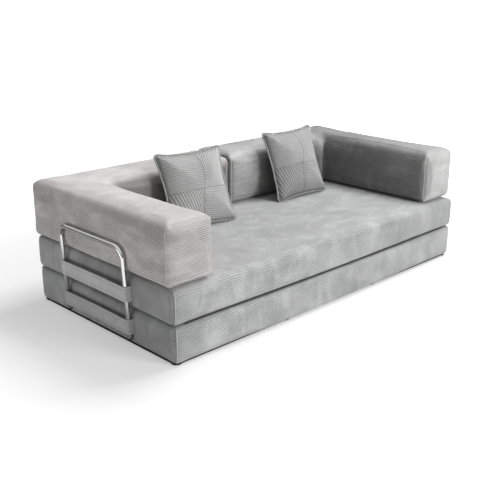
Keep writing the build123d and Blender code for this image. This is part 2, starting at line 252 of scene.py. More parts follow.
def velvet(name, level, warm, groove, mottle_depth, streaks=(2.0, 3.0, 0.7)):
    """Crushed velvet: groove(graph, place) gives the ribs' grooves, and is None for a plain one."""
    graph = Graph(name)
    place = graph.place()
    clouds = graph.noise(graph.place((1.0, 2.0, 1.4)), 3.4, 3.0, 0.55, 1.1)
    clouds = graph.spread(clouds, 0.36, 0.64)
    strokes = graph.noise(graph.place(streaks), 6.5, 3.0, 0.55, 0.7)
    strokes = graph.spread(strokes, 0.50, 0.60)
    mottle = graph.math("MULTIPLY_ADD", strokes, 0.45, graph.math("MULTIPLY", clouds, 0.55))
    nap = graph.noise(place, NAP_SCALE, 2.0, 0.7)
    shade = graph.math("MULTIPLY_ADD", mottle, mottle_depth, 1.0 - mottle_depth * 0.55)
    shade = graph.math("MULTIPLY", shade, graph.attribute("tone"))
    if groove:
        ribs = groove(graph, place)
        # The grooves between the ribs are darkened: painted shade
        shade = graph.math("MULTIPLY", shade, graph.math("MULTIPLY_ADD", ribs, -RIB_GROOVE_SHADE, 1.0))
    shade = graph.math("MULTIPLY", shade, graph.math("MULTIPLY_ADD", nap, 0.14, 0.93))
    colour = graph.add("ShaderNodeVectorMath", operation="SCALE")
    colour.inputs[0].default_value = grey(level, warm)[:3]
    graph.link(shade, colour.inputs["Scale"])
    normal = graph.bump(nap, 0.0006, 0.5, graph.bump(clouds, 0.004, 0.5))
    if groove:
        normal = graph.bump(graph.math("SUBTRACT", 1.0, ribs), 0.0022, 0.75, normal)
    graph.set(Base_Color=colour.outputs[0], Normal=normal,
              Roughness=graph.spread(mottle, 0, 1, 0.92, 0.78),
              Sheen_Weight=0.35, Sheen_Roughness=0.45, Specular_IOR_Level=0.18)
    return graph.material


def body_ribs(graph, place):
    """Level ribs of the mattresses and bolsters, worn away in places."""
    ribs = wale_groove(graph, graph.attribute("wale"), place)
    wear = graph.noise(graph.place((1.0, 1.0, 2.2)), 5.5, 2.0, 0.5, 0.6)
    wear = graph.spread(wear, 0.38, 0.62, 0.40, 1.0)
    return graph.math("MULTIPLY", graph.math("MULTIPLY", ribs, wear), graph.attribute("rib"))


def pillow_ribs(graph, place):
    """Four patches whose ribs run in different directions, parted by a bent seam."""
    across, up, _ = graph.parts(graph.attribute("face", "Vector"))
    wave = graph.math("SINE", graph.math("MULTIPLY", up, PATCH_SEAM_WAVES))
    curve = graph.math("MULTIPLY", wave, PATCH_SEAM_SWAY)
    right = graph.math("GREATER_THAN", graph.math("SUBTRACT", across, curve), PATCH_SEAM_OFFSET)
    top = graph.math("GREATER_THAN", up, -PATCH_SEAM_OFFSET)

    def along(degrees, fineness):
        turned = math.radians(degrees)
        return graph.math("MULTIPLY_ADD", across, fineness * math.sin(turned),
                          graph.math("MULTIPLY", up, fineness * math.cos(turned)))

    upper = graph.blend(right, along(4.0, 1.05), along(-38.0, 0.90))
    lower = graph.blend(right, along(76.0, 0.72), along(10.0, 1.05))
    coordinate = graph.blend(top, lower, upper)
    return graph.math("MULTIPLY", wale_groove(graph, coordinate, place), graph.attribute("rib"))


def metal(name, level, roughness, streak):
    graph = Graph(name)
    grain = graph.noise(graph.place((1, 1, streak)), 240.0)
    smears = graph.noise(graph.place(), 26.0)
    graph.set(Metallic=1.0, Roughness=graph.blend(grain, roughness * 0.75, roughness * 1.3),
              Base_Color=graph.mix(graph.spread(smears, 0.3, 0.7), grey(level), grey(level * 0.9)),
              Normal=graph.bump(grain, 0.00004, 0.25))
    return graph.material


def plastic(name, level, grain_scale, roughness):
    graph = Graph(name)
    grain = graph.noise(graph.place(), grain_scale)
    graph.set(Base_Color=graph.mix(grain, grey(level * 0.7), grey(level * 1.3)),
              Roughness=graph.blend(grain, roughness * 0.85, roughness * 1.15),
              Normal=graph.bump(grain, 0.0003, 0.4))
    return graph.material


LONG_STREAKS = (0.8, 0.8, 2.6)
MATERIALS = {
    "mattress": velvet("velvet_mattress", 0.51, -0.006, body_ribs, 0.26),
    # The left bolster's velvet is lighter and warmer than the right one's: painted light on the left
    # one, painted shade on the right one
    "bolster_left": velvet("velvet_bolster_left", 0.68, 0.042, body_ribs, 0.20, LONG_STREAKS),
    "bolster_right": velvet("velvet_bolster_right", 0.49, 0.004, body_ribs, 0.26, LONG_STREAKS),
    "pillow": velvet("velvet_pillow", 0.44, 0.0, pillow_ribs, 0.12),
    # The hinge cloth is near black: painted shade of the groove between the mattresses
    "hinge": velvet("hinge_cloth", 0.06, 0.0, None, 0.10),
    "band": velvet("velvet_band", 0.80, 0.0, None, 0.10),
    "pillow_seam": velvet("velvet_pillow_seam", 0.24, 0.0, None, 0.10),
    "piping": velvet("velvet_piping", 0.42, 0.0, None, 0.10),
    "welt": velvet("velvet_welt", 0.60, 0.0, None, 0.10),
    "tube": metal("satin_chrome", 0.60, 0.08, 0.15),
    "slider": metal("zip_slider_metal", 0.55, 0.3, 1.0),
    "rubber": plastic("black_rubber", 0.02, 600.0, 0.7),
    # The base panel under the lower mattress is black: painted shade in the gap above the floor
    "base": plastic("base_cloth", 0.03, 1500.0, 0.95),
    "teeth": plastic("zip_teeth", 0.16, 900.0, 0.5),
    "tape": plastic("zip_tape", 0.30, 1800.0, 0.9),
}


def dress(obj, key):
    obj.data.materials.clear()
    obj.data.materials.append(MATERIALS[key])


# Mesh helpers
def points_of(mesh):
    found = np.empty(len(mesh.vertices) * 3)
    mesh.vertices.foreach_get("co", found)
    return found.reshape(-1, 3)


def put_points(mesh, points):
    mesh.vertices.foreach_set("co", np.ascontiguousarray(points, float).ravel())
    mesh.update()


def normals_of(mesh):
    found = np.empty(len(mesh.vertices) * 3)
    mesh.vertex_normals.foreach_get("vector", found)
    return found.reshape(-1, 3)


def facing(normals, axis):
    """How much each normal points along an axis, from 0 to 1."""
    return np.clip(normals[:, axis], 0, 1)


def near(distance, width):
    """1 at no distance, fading to 0 over about that width on either side."""
    return np.exp(-(distance / width) ** 2)


def ease(value, low, high):
    """0 up to low, 1 from high on, and smooth between them."""
    t = np.clip((value - low) / (high - low), 0, 1)
    return t * t * (3 - 2 * t)


def give(mesh, name, values):
    """Write one number, or one vector, for each point."""
    values = np.asarray(values, np.float32)
    kind, field = ("FLOAT", "value") if values.ndim == 1 else ("FLOAT_VECTOR", "vector")
    layer = mesh.attributes.get(name) or mesh.attributes.new(name, kind, "POINT")
    layer.data.foreach_set(field, values.ravel())


def outer_shell(node_name):
    """A new mesh of a hollow CAD solid's outer skin."""
    work = bmesh.new()
    work.from_mesh(nodes[node_name].data)
    bmesh.ops.remove_doubles(work, verts=work.verts, dist=1e-6)
    left, shells = set(work.verts), []
    while left:
        stack = [left.pop()]
        shell = set(stack)
        while stack:
            for edge in stack.pop().link_edges:
                for vert in edge.verts:
                    if vert in left:
                        left.discard(vert)
                        shell.add(vert)
                        stack.append(vert)
        shells.append(shell)
    shells.sort(key=lambda shell: max(v.co.x for v in shell) - min(v.co.x for v in shell))
    inner = [vert for shell in shells[:-1] for vert in shell]
    bmesh.ops.delete(work, geom=inner, context="VERTS")
    mesh = bpy.data.meshes.new(node_name + "_skin")
    work.to_mesh(mesh)
    work.free()
    return mesh


def new_piece(name, mesh):
    obj = bpy.data.objects.new(name, mesh)
    mesh.name = name
    scene.collection.objects.link(obj)
    return obj


def bake_modifiers(obj):
    """Replace the object's mesh with what its modifiers give, and remove them."""
    bpy.context.view_layer.update()
    shown = obj.evaluated_get(bpy.context.evaluated_depsgraph_get())
    mesh = bpy.data.meshes.new_from_object(shown)
    obj.modifiers.clear()
    old = obj.data
    obj.data = mesh
    mesh.name = obj.name
    bpy.data.meshes.remove(old)


def remesh(obj, voxel):
    """Give the piece an even, slightly smoothed mesh."""
    change = obj.modifiers.new("remesh", "REMESH")
    change.mode = "VOXEL"
    change.voxel_size = voxel
    smoother = obj.modifiers.new("smooth", "SMOOTH")
    smoother.factor = 0.4
    smoother.iterations = 2
    bake_modifiers(obj)


def inflate(obj, pressure, cap, frames, held=None):
    """Swell a closed piece with cloth simulation and keep the result in its mesh."""
    rest = points_of(obj.data)
    cloth = obj.modifiers.new("cloth", "CLOTH")
    settings = cloth.settings
    settings.quality = 4
    settings.mass = 0.25
    settings.tension_stiffness = 12.0
    settings.compression_stiffness = 12.0
    settings.shear_stiffness = 4.0
    settings.bending_stiffness = 0.4
    settings.use_pressure = True
    settings.uniform_pressure_force = pressure
    settings.effector_weights.gravity = 0
    cloth.collision_settings.use_collision = False
    if held is not None:
        group = obj.vertex_groups.new(name="held")
        group.add([int(i) for i in np.nonzero(held)[0]], 1.0, "REPLACE")
        settings.vertex_group_mass = "held"
    for number in range(1, frames + 1):
        scene.frame_set(number)
    shown = obj.evaluated_get(bpy.context.evaluated_depsgraph_get())
    moved = points_of(shown.data)
    obj.modifiers.clear()
    obj.vertex_groups.clear()
    step = moved - rest
    length = np.linalg.norm(step, axis=1, keepdims=True)
    step *= np.minimum(1.0, cap / np.maximum(length, 1e-9))
    put_points(obj.data, rest + step)
    scene.frame_set(1)


def subdivide(obj):
    """Subdivide the piece once, and return its new mesh with the mesh's points and normals."""
    change = obj.modifiers.new("fine", "SUBSURF")
    change.levels = change.render_levels = 1
    bake_modifiers(obj)
    return obj.data, points_of(obj.data), normals_of(obj.data)


def smooth_shade(obj):
    for polygon in obj.data.polygons:
        polygon.use_smooth = True


def cloud(points, scale, seed):
    """Smooth noise at each point, the same in each run."""
    shift = Vector((seed * 7.3, seed * 3.1, seed * 5.7))
    return np.array([noise.noise(Vector(p) * scale + shift) for p in points])


def rect_depth(points, x0, x1, y0, y1):
    """How far each point is inside a rectangle in plan."""
    x, y = points[:, 0], points[:, 1]
    return np.minimum.reduce([x - x0, x1 - x, y - y0, y1 - y])


def tube_mesh(path, radius, sides, closed=False, squash=1.0):
    """Vertices and faces of a round cord along a path of points."""
    path = [Vector(p) for p in path]
    count = len(path)
    verts, faces = [], []
    normal = None
    for i, point in enumerate(path):
        ahead = path[(i + 1) % count] if closed or i + 1 < count else point
        behind = path[i - 1] if closed or i else point
        along = (ahead - behind).normalized()
        if normal is None:
            normal = along.orthogonal().normalized()
        normal = (normal - along * normal.dot(along)).normalized()
        across = along.cross(normal)
        for k in range(sides):
            turn = 2 * math.pi * k / sides
            verts.append(point + radius * (math.cos(turn) * normal + squash * math.sin(turn) * across))
    for i in range(count if closed else count - 1):
        a, b = i * sides, ((i + 1) % count) * sides
        for k in range(sides):
            n = (k + 1) % sides
            faces.append((a + k, a + n, b + n, b + k))
    if not closed:
        faces.append(tuple(range(sides))[::-1])
        faces.append(tuple(range((count - 1) * sides, count * sides)))
    return verts, faces


def sheet_faces(rows, columns):
    """Faces of a thin sheet: two grids of points, one after the other, closed round their edges."""
    wide = columns + 1
    shift = wide * (rows + 1)
    faces = []
    for row in range(rows):
        for column in range(columns):
            a, b = row * wide + column, (row + 1) * wide + column
            faces.append((a, a + 1, b + 1, b))
            faces.append((shift + a, shift + b, shift + b + 1, shift + a + 1))
        for edge in (0, columns):
            a, b = row * wide + edge, (row + 1) * wide + edge
            faces.append((a, b, shift + b, shift + a))
    for column in range(columns):
        top = rows * wide + column
        faces.append((column, shift + column, shift + column + 1, column + 1))
        faces.append((top, top + 1, shift + top + 1, shift + top))
    return faces


def join_meshes(name, parts, material):
    """One smooth, dressed object from several (verts, faces) pairs."""
    verts, faces = [], []
    for part_verts, part_faces in parts:
        base = len(verts)
        verts.extend(part_verts)
        faces.extend(tuple(base + i for i in face) for face in part_faces)
    mesh = bpy.data.meshes.new(name)
    mesh.from_pydata([tuple(v) for v in verts], [], faces)
    mesh.update()
    work = bmesh.new()
    work.from_mesh(mesh)
    bmesh.ops.recalc_face_normals(work, faces=work.faces)
    work.to_mesh(mesh)
    work.free()
    obj = new_piece(name, mesh)
    give(mesh, "tone", np.ones(len(mesh.vertices)))
    smooth_shade(obj)
    dress(obj, material)
    return obj


def surface_tree(obj):
    return BVHTree.FromObject(obj, bpy.context.evaluated_depsgraph_get())


def surface_ring(tree, centre, across, reach, count, turns=(0.0, 360.0), lift=0.0):
    """Points where rays from outside, in the upright plane of across, first meet a surface."""
    found = []
    span = turns[1] - turns[0]
    steps = count - (span < 360)
    for i in range(count):
        angle = math.radians(turns[0] + span * i / steps)
        outward = across * math.cos(angle) + UPWARD * math.sin(angle)
        hit, normal, _, _ = tree.ray_cast(centre + outward * reach, -outward, reach)
        if hit is not None:
            found.append(hit + normal * lift)
    return found


def box_of(name):
    low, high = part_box(name)
    return np.array(low), np.array(high)


# Mattresses
UPPER_LOW, UPPER_HIGH = box_of("upper_cover")
LOWER_LOW, LOWER_HIGH = box_of("lower_cover")
BOLSTER = {side: box_of(f"bolster_cover_{side}") for side in SIDES}
SEAT_LEVEL = BOLSTER["right"][0][2] - 0.0003


def mattress_tone(points, normals, low, high, is_seat):
    x, y, z = points.T
    forward = facing(-normals, 1)
    # The pile lies one way or another in upright patches along the front
    patches = np.tanh(3.0 * cloud(points * (5.0, 0.0, 0.7), 1.0, 30.0 + is_seat))
    patches = patches * forward * (0.045 + 0.05 * ease(x, -0.4, 0.3))
    # Painted light and shade: the fronts lighter towards the left and darker towards the right, the
    # tops darker towards the back, and the sides darker at the front and lighter at the back
    patches += forward * (0.18 - 0.26 * ease(x, -0.75, 0.7))
    on_seat = facing(normals, 2) * (0.14 - 0.12 * ease(-y, 0.25, 0.48))
    beside = np.abs(normals[:, 0]) * (0.16 - 0.26 * ease(y, -0.35, 0.35))
    tone = 1.0 - beside - on_seat + patches
    # Painted shade beside the corner welts, and where the two mattresses meet
    groove = near(np.abs(x) - high[0] + SEAM_INSET - 0.004, 0.005)
    shadow = near(z - (low[2] if is_seat else high[2]), 0.007)
    return tone * (1 - 0.25 * groove * np.abs(normals[:, 1])) * (1 - 0.45 * shadow)


def mattress(name, skin_node, low, high, is_seat):
    obj = new_piece(name, outer_shell(skin_node))
    remesh(obj, 0.012)
    inflate(obj, 0.6, 0.004, 8)
    points, normals = points_of(obj.data), normals_of(obj.data)
    # Cloth bulges a little on its free faces and draws in between them
    broad = cloud(points, 3.2, 1.0 if is_seat else 4.0)
    fine = cloud(points, 11.0, 2.0 if is_seat else 5.0)
    sideways = 1 - np.abs(normals[:, 2])
    middle = 1 - ((points[:, 2] - (low[2] + high[2]) / 2) / ((high[2] - low[2]) / 2)) ** 2
    move = sideways * (0.0022 * np.clip(middle, 0, 1) + 0.0012 * broad + 0.0007 * fine)
    if is_seat:
        seat = ease(rect_depth(points, -SEAT_HALF, SEAT_HALF, low[1], SEAT_BACK), 0.0, 0.10)
        move += facing(normals, 2) * seat * (0.0022 * broad + 0.0016 * fine)
    points = points + normals * move[:, None]
    # The fronts meet when the bed is open, so neither swells past the fold's axis
    bow_start = low[1] + FRONT_ROOM
    excess = np.clip(bow_start - points[:, 1], 0, None)
    points[:, 1] = np.maximum(points[:, 1], bow_start - FRONT_ROOM * np.tanh(excess / FRONT_ROOM))
    # Faces that rest on something stay flat and clear of it
    top = high[2]
    if is_seat:
        covered = np.maximum(np.abs(points[:, 0]) - COVERED_OUT, points[:, 1] - COVERED_BACK)
        top = np.where(covered > 0, SEAT_LEVEL, high[2] + 0.004)
    points[:, 2] = np.minimum(np.maximum(points[:, 2], low[2]), top)
    put_points(obj.data, points)
    mesh, points, normals = subdivide(obj)
    depth = rect_depth(points, low[0], high[0], low[1] + FRONT_BOW, high[1])
    give(mesh, "wale", points[:, 2] + np.clip(depth, 0, None))
    fronts = facing(-normals, 1) ** 0.6 + 0.8 * facing(normals, 1)
    worn = 1 - 0.75 * ease(points[:, 0], -0.05, 0.75)
    give(mesh, "rib", np.clip(fronts * worn + 0.05, 0, 1))
    give(mesh, "tone", mattress_tone(points, normals, low, high, is_seat))
    smooth_shade(obj)
    dress(obj, "mattress")
    return obj


def mattress_seams(name, obj, low, high):
    """Upright welts at the corners, where the side panels meet the front and back panels."""
    tree = surface_tree(obj)
    parts = []
    for hand in (-1, 1):
        x = hand * (high[0] - SEAM_INSET)
        for y, outward, radius in ((low[1] + 0.25, -BACKWARD, 0.0032),
                                   (high[1] - 0.25, BACKWARD, 0.0021)):
            centre = Vector((x, y, (low[2] + high[2]) / 2))
            ring = surface_ring(tree, centre, outward, 0.6, 60, (-17, 17))
            parts.append(tube_mesh(ring, radius, 8, squash=WELT_SQUASH))
    return join_meshes(name, parts, "welt")


lower = mattress("mattress_lower", "lower_cover", LOWER_LOW, LOWER_HIGH, False)
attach(lower, "base")
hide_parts("lower_cover", "lower_foam")
upper = mattress("mattress_upper", "upper_cover", UPPER_LOW, UPPER_HIGH, True)
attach(upper, "upper_mattress")
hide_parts("upper_cover", "upper_foam", "upper_topper")
for mattress_piece, body, low, high in ((lower, "base", LOWER_LOW, LOWER_HIGH),
                                        (upper, "upper_mattress", UPPER_LOW, UPPER_HIGH)):
    seams = mattress_seams(mattress_piece.name + "_seams", mattress_piece, low, high)
    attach(seams, body)


# Corner bolsters
def bolster_tone(side, points, normals, low, high):
    """Panels lighter or darker by which way they face, where they stand and how high: painted light
    and shade, with painted shade at the middle gap, along the lower edge and below the top edge.
    """
    x, y, z = points.T
    up = facing(normals, 2)
    forward = facing(-normals, 1)
    inward = facing(-HAND[side] * normals, 0)
    if side == "right":
        level = ease(z, low[2], high[2])
        toward_front = ease(-y, -0.25, 0.50)
        on_arm = ease(x, 0.70, 0.78)
        tone = 1.0 - inward * on_arm * (0.58 - 0.16 * level - 0.10 * toward_front)
        tone += on_arm * (0.26 * forward - 0.54 * up * (1 - 0.5 * toward_front))
        tone += 0.02 * forward * (1 - on_arm) * (1 - 27.0 * ease(x, 0.12, 0.34))
        gap_x = low[0]
    else:
        tone = 1.0 + 0.12 * up + 0.14 * facing(-normals, 0)
        tone -= forward * (0.12 * (y < -0.4) + 0.60 * ease(x, -0.78, -0.70))
        tone -= 0.14 * inward * ease(-x, 0.30, 0.60)
        # Painted shade in a band just below the top edge, broken up by noise
        under_edge_shade = near(z - high[2] + 0.075, 0.028) * (1 - up)
        tone -= 0.14 * under_edge_shade * np.clip(0.5 + 2.2 * cloud(points, 5.0, 41.0), 0, 1)
        gap_x = high[0]
    # Painted shade between the bolsters at the middle gap, and along the lower edge
    tone *= 1 - 0.80 * inward ** 1.5 * (np.abs(x - gap_x) < 0.03)
    return tone * (1 - 0.45 * near(z - low[2], 0.008))


def bolster(side):
    low, high = BOLSTER[side]
    hand = HAND[side]
    obj = new_piece(f"bolster_{side}", outer_shell(f"bolster_cover_{side}"))
    remesh(obj, 0.010)
    inflate(obj, 1.6, 0.0035, 12)
    points, normals = points_of(obj.data), normals_of(obj.data)
    broad = cloud(points, 4.5, 6.0 + hand)
    fine = cloud(points, 14.0, 9.0 + hand)
    points = points + normals * (0.0020 * broad + 0.0012 * fine)[:, None]
    # It stays above the seat, before the back frames, and clear of its neighbour and the side frame
    gap_room = np.array([0.0012, 0.0]) if hand > 0 else np.array([0.0, 0.0012])
    points[:, 0] = np.clip(points[:, 0], low[0] - gap_room[0], high[0] + gap_room[1])
    points[:, 1] = np.minimum(points[:, 1], high[1])
    points[:, 2] = np.maximum(points[:, 2], low[2])
    put_points(obj.data, points)
    mesh, points, normals = subdivide(obj)
    outer = low[0] if hand < 0 else high[0]
    arm_x = sorted((outer, outer - hand * ARM_WIDTH))
    arm = rect_depth(points, arm_x[0], arm_x[1], low[1], high[1])
    back = rect_depth(points, low[0], high[0], high[1] - BACK_DEPTH, high[1])
    give(mesh, "wale", points[:, 2] + np.clip(np.maximum(arm, back), 0, None))
    rib = 1.0 - 0.85 * ease(facing(normals, 2), 0.25, 0.9)
    if side == "right":
        rib -= 0.75 * facing(-normals, 1) * (points[:, 1] < low[1] + 0.05)
    give(mesh, "rib", np.clip(rib, 0, 1))
    give(mesh, "tone", bolster_tone(side, points, normals, low, high))
    smooth_shade(obj)
    dress(obj, f"bolster_{side}")
    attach(obj, f"{side}_bolster")
    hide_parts(f"bolster_cover_{side}", f"bolster_foam_{side}")
    return obj


def bolster_seams(side, obj):
    """Welts round the arm's front end and round the back's end at the middle gap."""
    low, high = BOLSTER[side]
    hand = HAND[side]
    tree = surface_tree(obj)
    outer, inner_end = (low[0], high[0]) if hand < 0 else (high[0], low[0])
    level = (low[2] + high[2]) / 2
    inset = BOLSTER_ROUND * 0.62
    arm_centre = Vector((outer - hand * ARM_WIDTH / 2, low[1] + inset, level))
    gap_centre = Vector((inner_end + hand * inset, high[1] - BACK_DEPTH / 2, level))
    parts = []
    for centre, across in ((arm_centre, RIGHTWARD), (gap_centre, BACKWARD)):
        ring = surface_ring(tree, centre, across, 0.3, 200, lift=-0.0004)
        parts.append(tube_mesh(ring, 0.0022, 8, closed=True, squash=WELT_SQUASH))
    seams = join_meshes(f"bolster_seams_{side}", parts, "welt")
    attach(seams, f"{side}_bolster")


for side in SIDES:
    bolster_seams(side, bolster(side))


# Pillows
def eared(points, half):
    """Points of a pillow, or of its piping, with the four corners pulled out into ears."""
    shares = np.abs(points[:, :2]) / half
    pull = ease(shares.min(1), 0.60, 1.0) * PILLOW_EAR
    moved = points.copy()
    moved[:, :2] += np.sign(points[:, :2]) * pull[:, None]
    return moved


def laid_flat(side, node_name):
    """A copy of a pillow node's mesh turned into the pillow's own plane, its middle, the turn back."""
    yaw, lean = PILLOW_TURN[side]
    turn = (Matrix.Rotation(math.radians(yaw), 4, "Z")
            @ Matrix.Rotation(math.radians(90 - lean), 4, "X"))
    mesh = nodes[node_name].data.copy()
    mesh.transform(turn.inverted())
    flat = points_of(mesh)
    return mesh, Vector((flat.min(0) + flat.max(0)) / 2), turn


def pillow(side):
    mesh, middle, turn = laid_flat(side, f"pillow_filling_{side}")
    mesh.transform(Matrix.Translation(-middle))
    obj = new_piece(f"pillow_{side}", mesh)
    remesh(obj, 0.005)
    rest = points_of(obj.data)
    half = np.abs(rest[:, :2]).max()
    edge = np.maximum(np.abs(rest[:, 0]), np.abs(rest[:, 1]))
    held = (np.abs(rest[:, 2]) < 0.004) & (edge > half * 0.90)
    inflate(obj, 4.0, 0.012, 20, held)
    points, normals = points_of(obj.data), normals_of(obj.data)
    # Slack cloth gathers a little at the corners
    points = eared(points, half)
    across, up = np.abs(points[:, 0]), np.abs(points[:, 1])
    corner = ease(across + up, half * 1.1, half * 1.9)
    folds = np.sin(60 * (across - up) / half)
    soft = cloud(points, 12.0, 21.0 + HAND[side])
    put_points(obj.data, points + normals * (0.0018 * corner * folds + 0.0024 * soft)[:, None])
    mesh, points, _ = subdivide(obj)
    give(mesh, "face", points)
    across, up = points[:, 0] / half, points[:, 1] / half
    right, top = ease(across, 0.03, 0.09), ease(up, -0.09, -0.04)
    fade = PILLOW_RIBS[side]
    upper_ribs = fade[0] * (1 - right) + fade[1] * right * (1 - 0.85 * ease(across, 0.35, 0.80))
    lower_ribs = fade[2] * (1 - right) + fade[3] * right
    give(mesh, "rib", np.clip(upper_ribs * top + lower_ribs * (1 - top), 0, 1))
    # Painted shade on the face along its edge, next to the piping
    from_edge = half - np.maximum(PILLOW_DRAW_IN * (1 - up ** 2) + np.abs(points[:, 0]),
                                  PILLOW_DRAW_IN * (1 - across ** 2) + np.abs(points[:, 1]))
    give(mesh, "tone", PILLOW_TONE[side] * (1 - 0.30 * near(np.clip(from_edge, 0, 1), 0.006)))
    place = turn @ Matrix.Translation(middle)
    pillow_seams(side, obj, place)
    mesh.transform(place)
    mesh.update()
    smooth_shade(obj)
    dress(obj, "pillow")
    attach(obj, f"{side}_pillow")
    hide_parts(f"pillow_cover_{side}", f"pillow_filling_{side}")


def pillow_seams(side, obj, place):
    """Stitched seams between the four patches of the pillow's face."""
    tree = surface_tree(obj)
    lines = []
    for upright in (False, True):
        line = []
        for k in range(PATCH_SEAM_STEPS + 1):
            along = (-0.93 + 1.86 * k / PATCH_SEAM_STEPS) * PATCH_HALF
            if upright:
                u, v = PATCH_SEAM_OFFSET + PATCH_SEAM_SWAY * math.sin(PATCH_SEAM_WAVES * along), along
            else:
                u, v = along, -PATCH_SEAM_OFFSET
            hit, normal, _, _ = tree.ray_cast(Vector((u, v, 0.3)), -UPWARD, 0.6)
            if hit is not None and abs(hit.z) > 0.006:
                line.append(hit - normal * 0.0004)
        lines.append(tube_mesh(line, 0.0014, 6))
    seams = join_meshes(f"pillow_seams_{side}", lines, "pillow_seam")
    seams.data.transform(place)
    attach(seams, f"{side}_pillow")


def pillow_piping(side):
    """Round cord sewn into the pillow's edge, pulled out a little at the corners."""
    mesh, middle, turn = laid_flat(side, f"pillow_piping_{side}")
    flat = points_of(mesh)
    bpy.data.meshes.remove(mesh)
    reach = (flat.max(0) - flat.min(0))[0] / 2 - PIPING_RADIUS
    path = []
    for edge in range(4):
        spin = Matrix.Rotation(math.radians(90 * edge), 3, "Z")
        for k in range(PIPING_STEPS):
            along = -1 + 2 * k / PIPING_STEPS
            inward = PILLOW_DRAW_IN * (1 - along ** 2)
            wave = 0.0012 * math.sin(9 * along + edge) + 0.0006 * math.sin(23 * along + 2 * edge)
            path.append(tuple(spin @ Vector((reach - inward, along * reach * 0.985, wave))))
    path = eared(np.array(path), reach)
    for _ in range(9):
        path = 0.5 * path + 0.25 * (np.roll(path, 1, 0) + np.roll(path, -1, 0))
    cord = tube_mesh(path, PIPING_RADIUS * 1.25, 10, closed=True)
    piping = join_meshes(f"pillow_piping_{side}_cord", [cord], "piping")
    piping.data.transform(turn @ Matrix.Translation(middle))
    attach(piping, f"{side}_pillow")
    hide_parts(f"pillow_piping_{side}")


for side in SIDES:
    pillow(side)
    pillow_piping(side)


# Straps: flat cloth sewn to a mattress side and wrapped round the two legs of a frame
def strap_route(leg_out, radius):
    """Plan of one face of a strap: places along the mattress side and outwards from it."""
    half = LEG_HALF + radius
    right = [(half, 0.0), (half + 0.0008, leg_out * 0.5)]
    for k in range(11):
        angle = math.radians(90 * k / 10)
        right.append((LEG_HALF + radius * math.cos(angle), leg_out + radius * math.sin(angle)))
    span = []
    for k in range(1, 20):
        along = 1 - 2 * k / 20
        # The cloth is slack between the legs, so it sags a little towards the mattress
        slack = STRAP_SLACK * (1 - along ** 2)
        span.append((LEG_HALF * along, leg_out + radius - slack))
    return right + span + [(-a, b) for a, b in reversed(right)]


def strap(name, node_name, origin, along, outward, leg_places, body, level, swell=1.0):
    """level is (low, high); leg_places gives how far out the leg's axis is at low and at high.

    swell is less than 1 where a neighbour leaves little room.
    """
    low, high = level
    radius = TUBE_RADIUS + TUBE_ROOM + STRAP_THICKNESS
    rows = 16
    outer, inner = [], []
    for row in range(rows + 1):
        share = row / rows
        leg_out = leg_places[0] + (leg_places[1] - leg_places[0]) * share
        z = low + (high - low) * share
        belly = swell * math.sin(math.pi * share)
        for face, depth in ((outer, 0.0), (inner, STRAP_THICKNESS)):
            for a, b in strap_route(leg_out, radius - depth):
                soft = belly * (0.0012 + 0.0008 * math.sin(a * 31 + 5 * share))
                place = origin + along * a + outward * max(b + soft, 0.0)
                face.append(Vector((place.x, place.y, z)))
    wide = len(outer) // (rows + 1)
    parts = [(outer + inner, sheet_faces(rows, wide - 1))]
    # Hem stitching, a little in from the lower and upper edges
    rise = STITCH_RISE if swell == 1.0 else STITCH_SUNK
    for hem in (STRAP_HEM, high - low - STRAP_HEM):
        row = hem / (high - low) * rows
        base = int(row)
        line = []
        for k in range(wide):
            a, b = outer[base * wide + k], outer[(base + 1) * wide + k]
            line.append(a.lerp(b, row - base) + outward * rise)
        for start, end in zip(line, line[1:]):
            if (end - start).length > 0.0005:
                parts.append(tube_mesh([start, start.lerp(end, 0.5), end], STITCH_RADIUS, 5))
    piece = join_meshes(name, parts, "band")
    # Painted shade along the hem stitching
    heights = points_of(piece.data)[:, 2]
    from_hem = np.minimum(np.abs(heights - low - STRAP_HEM), np.abs(high - STRAP_HEM - heights))
    give(piece.data, "tone", STRAP_TONE[body] * (1 - 0.22 * near(from_hem, 0.0016)))
    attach(piece, body)
    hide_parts(node_name)


def leg_out_at(side, z, face_x):
    """How far out of a mattress side the axis of a leaning side leg is at a height."""
    low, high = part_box(f"frame_{side}")
    bar_x = max(abs(low[0]), abs(high[0])) - TUBE_RADIUS
    bar_z = high[2] - TUBE_RADIUS
    return bar_x - (bar_z - z) * math.tan(SIDE_LEAN) - face_x


middle_y = (UPPER_LOW[1] + FRONT_BOW + UPPER_HIGH[1]) / 2
for side in SIDES:
    hand = HAND[side]
    for layer, body, face_x in (("lower", "base", LOWER_HIGH[0]),
                                ("upper", "upper_mattress", UPPER_HIGH[0])):
        low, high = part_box(f"{layer}_loop_{side}")
        level = (low[2], high[2])
        places = [leg_out_at(side, z, face_x) for z in level]
        strap(f"strap_{layer}_{side}", f"{layer}_loop_{side}", Vector((hand * face_x, middle_y, 0)),
              BACKWARD, hand * RIGHTWARD, places, body, level)
        low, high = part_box(f"{layer}_loop_back_{side}")
        level = (low[2], high[2])
        out = high[1] - STRAP_THICKNESS - TUBE_ROOM - TUBE_RADIUS - UPPER_HIGH[1]
        strap(f"strap_{layer}_back_{side}", f"{layer}_loop_back_{side}",
              Vector(((low[0] + high[0]) / 2, UPPER_HIGH[1], 0)), RIGHTWARD, BACKWARD,
              (out, out), body, level, swell=0.1)


